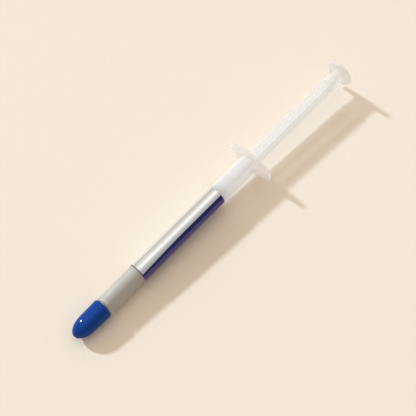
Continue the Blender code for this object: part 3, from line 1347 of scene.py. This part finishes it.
@dataclass(frozen=True)
class Studio:
    """Camera, sun, world and table.

    The lens is that of a 36 mm wide sensor on which 416 pixels lie across the picture, with a
    focal length of 900 of them.
    """

    heading: float = math.radians(42.95)
    elevation: float = math.radians(66.5)
    camera_roll: float = math.radians(0.33)
    distance: float = 0.32499
    aim_right: float = 35.42 * MM
    aim_forward: float = 37.57 * MM
    aim_height: float = 3.0 * MM
    lens: float = 36 * 900 / 416
    clip_start: float = 0.01
    table_size: float = 20.0
    table_cells: int = 8
    sun_rightwards: float = 0.813
    sun_nearwards: float = 0.581
    sun_elevation: float = math.radians(30.2)
    sun_strength: float = 2.84
    sun_angle: float = math.radians(4)
    sun_colour: Colour = (0.69, 0.835, 1.0)
    room_near: float = 0.42
    room_far: float = 0.59
    room_change: tuple[float, float] = (-0.9, 0.8)
    near_colour: Colour = (1.0, 0.91, 0.83)
    far_colour: Colour = (1.0, 0.84, 0.66)
    overhead_colour: Colour = (1.0, 0.97, 0.92)
    overhead_rise: tuple[float, float] = (0.0, 0.3)
    panel_lean: float = math.radians(16)
    panel_middle: float = 0.29
    panel_length: tuple[float, float] = (0.35, 0.9)
    panel_light: float = 0.32
    panel_reach: tuple[float, float] = (0.15, 1.0)
    tube_light: float = 0.42
    tube_reach: tuple[float, float] = (0.0, 0.4)

    def directions(self) -> tuple[Vector, Vector]:
        """Directions along the table, as the camera looks at it.

        Returns:
            Forward and right.
        """
        forward = Vector((math.cos(self.heading), math.sin(self.heading), 0.0))
        return forward, forward.cross(Vector((0.0, 0.0, 1.0)))

    def camera(self, shoulder: Vector) -> None:
        """Sets the camera above the table, aimed past the barrel's shoulder.

        Args:
            shoulder: Where the barrel's shoulder lies.
        """
        forward, right = self.directions()
        up = Vector((0.0, 0.0, 1.0))
        look = forward * math.cos(self.elevation) - up * math.sin(self.elevation)
        above = right.cross(look)
        turn, lean = math.cos(self.camera_roll), math.sin(self.camera_roll)
        side, top = right * turn + above * lean, above * turn - right * lean
        aim = Vector((shoulder.x, shoulder.y, self.aim_height))
        aim += right * self.aim_right + forward * self.aim_forward
        camera = bpy.data.objects.new("camera", bpy.data.cameras.new("camera"))
        camera.data.lens = self.lens
        camera.data.clip_start = self.clip_start
        axes = Matrix((side, top, -look)).transposed().to_4x4()
        camera.matrix_world = Matrix.Translation(aim - look * self.distance) @ axes
        bpy.context.scene.collection.objects.link(camera)
        bpy.context.scene.camera = camera

    def sun(self) -> None:
        """Adds a low sun, which shines from the upper left of the picture."""
        forward, right = self.directions()
        low = right * self.sun_rightwards - forward * self.sun_nearwards
        sunny = low.normalized() * math.cos(self.sun_elevation)
        sunny -= Vector((0.0, 0.0, math.sin(self.sun_elevation)))
        lamp = bpy.data.lights.new("sun", "SUN")
        lamp.energy = self.sun_strength
        lamp.angle = self.sun_angle
        lamp.color = self.sun_colour
        sun = bpy.data.objects.new("sun", lamp)
        turned = sunny.to_track_quat("-Z", "Y").to_matrix().to_4x4()
        sun.matrix_world = Matrix.Translation((0.0, 0.0, 1.0)) @ turned
        bpy.context.scene.collection.objects.link(sun)

    def world(self) -> None:
        """Lights the room: warm, dimmer on the near side, a wide panel and a thin tube overhead."""
        world = bpy.data.worlds.new("room")
        world.use_nodes = True
        graph = Graph(world.node_tree)
        place = graph.node("ShaderNodeTexCoord").outputs["Generated"]

        def along(direction: tuple[float, float, float]) -> Number:
            """Share of the direction of sight that lies along another direction."""
            product = {"operation": "DOT_PRODUCT"}
            return graph.number("ShaderNodeVectorMath", product, {0: place, 1: direction}, "Value")

        lean = self.panel_lean
        far_side = along((0.0, 1.0, 0.0)).ramp(*self.room_change)
        overhead = along((0.0, math.sin(lean), math.cos(lean))).ramp(*self.overhead_rise)
        off_middle = (along((1.0, 0.0, 0.0)) - self.panel_middle).math("ABSOLUTE")
        off_line = along((0.0, math.cos(lean), -math.sin(lean))).math("ABSOLUTE")
        panel = (1 - off_line.ramp(*self.panel_reach)) * self.panel_light
        tube = (1 - off_line.ramp(*self.tube_reach)) * self.tube_light
        shape = overhead * (1 - off_middle.ramp(*self.panel_length))
        room = {
            "Color": graph.blend(far_side, self.near_colour, self.far_colour),
            "Strength": self.room_near + far_side * (self.room_far - self.room_near),
        }
        above = {"Color": (*self.overhead_colour, 1.0), "Strength": shape * (panel + tube)}
        lights = [graph.node("ShaderNodeBackground", None, light) for light in (room, above)]
        shaders = {i: light.outputs[0] for i, light in enumerate(lights)}
        both = graph.node("ShaderNodeAddShader", None, shaders)
        output = world.node_tree.nodes["World Output"]
        graph.tree.links.new(both.outputs[0], output.inputs["Surface"])
        bpy.context.scene.world = world

    def table(self) -> None:
        """Adds the pale table top, with a very faint grain."""
        bm = bmesh.new()
        cells, half = self.table_cells, self.table_size / 2
        bmesh.ops.create_grid(bm, x_segments=cells, y_segments=cells, size=half)
        mesh = bpy.data.meshes.new("table")
        bm.to_mesh(mesh)
        bm.free()
        mesh.materials.append(TABLE_TOP.material())
        table = bpy.data.objects.new("table", mesh)
        bpy.context.scene.collection.objects.link(table)

    def build(self, shoulder: Vector) -> None:
        """Sets up the whole studio.

        Args:
            shoulder: Where the barrel's shoulder lies.
        """
        bpy.context.scene.view_settings.view_transform = "Standard"
        self.camera(shoulder)
        self.sun()
        self.world()
        self.table()


def main() -> None:
    """Builds and reports each sub-assembly in order, then the studio."""
    logging.basicConfig(level=logging.INFO, format="%(message)s")
    barrel = Barrel()
    piston = Piston(barrel)
    paste, rod = PasteFill(barrel, piston), PlungerRod(piston)
    axis = SyringeAxis.from_joints(frame["joints"], piston.rear)
    workshop = Workshop(axis)
    for assembly in (barrel, Cap(barrel), Label(barrel), piston, paste, rod):
        for piece in assembly.build(workshop):
            LOG.info("%s: %d faces", piece.name, len(piece.data.polygons))
    Studio().build(axis.shoulder)


if __name__ == "__main__":
    main()
